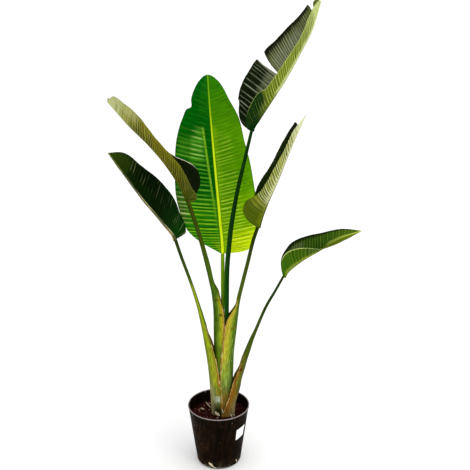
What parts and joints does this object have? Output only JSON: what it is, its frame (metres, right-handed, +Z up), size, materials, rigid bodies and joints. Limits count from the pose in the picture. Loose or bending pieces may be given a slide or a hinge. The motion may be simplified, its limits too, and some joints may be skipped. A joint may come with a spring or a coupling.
{
  "type": "potted giant white bird of paradise plant",
  "caption": "Upright foliage plant: a fan of large pleated paddle leaves on long clasping stalks, standing in a filled round tapered nursery pot.",
  "frame": {"origin": "centre of the pot's flat underside, on the surface it stands on", "axes": "+Z up along the pot's axis; the fan of leaves lies along X, with the leaf that rises highest towards +X; -Y is the front, which the back leaf's upper face looks to"},
  "size_m": [0.7648, 0.3111, 1.5264],
  "materials": {
    "pot_plastic": "thin black moulded plastic, slightly glossy, worn pale at the rim",
    "potting_soil": "loose dark bark and fibre potting mix",
    "label_paper": "plain white, blank",
    "leaf_stalk": "smooth waxy green, with brown papery margins on the sheaths",
    "leaf_blade": "leathery green, pleated across, with a pale midrib"
  },
  "bodies": {
    "root": {"pot": "pot_plastic", "soil": "potting_soil", "label": "label_paper", "leaf_centre_stalk": "leaf_stalk", "leaf_centre_blade": "leaf_blade", "leaf_upper_left_stalk": "leaf_stalk", "leaf_upper_left_blade": "leaf_blade", "leaf_lower_left_stalk": "leaf_stalk", "leaf_lower_left_blade": "leaf_blade", "leaf_top_right_stalk": "leaf_stalk", "leaf_top_right_blade": "leaf_blade", "leaf_mid_right_stalk": "leaf_stalk", "leaf_mid_right_blade": "leaf_blade", "leaf_low_right_stalk": "leaf_stalk", "leaf_low_right_blade": "leaf_blade"}
  },
  "joints": []
}
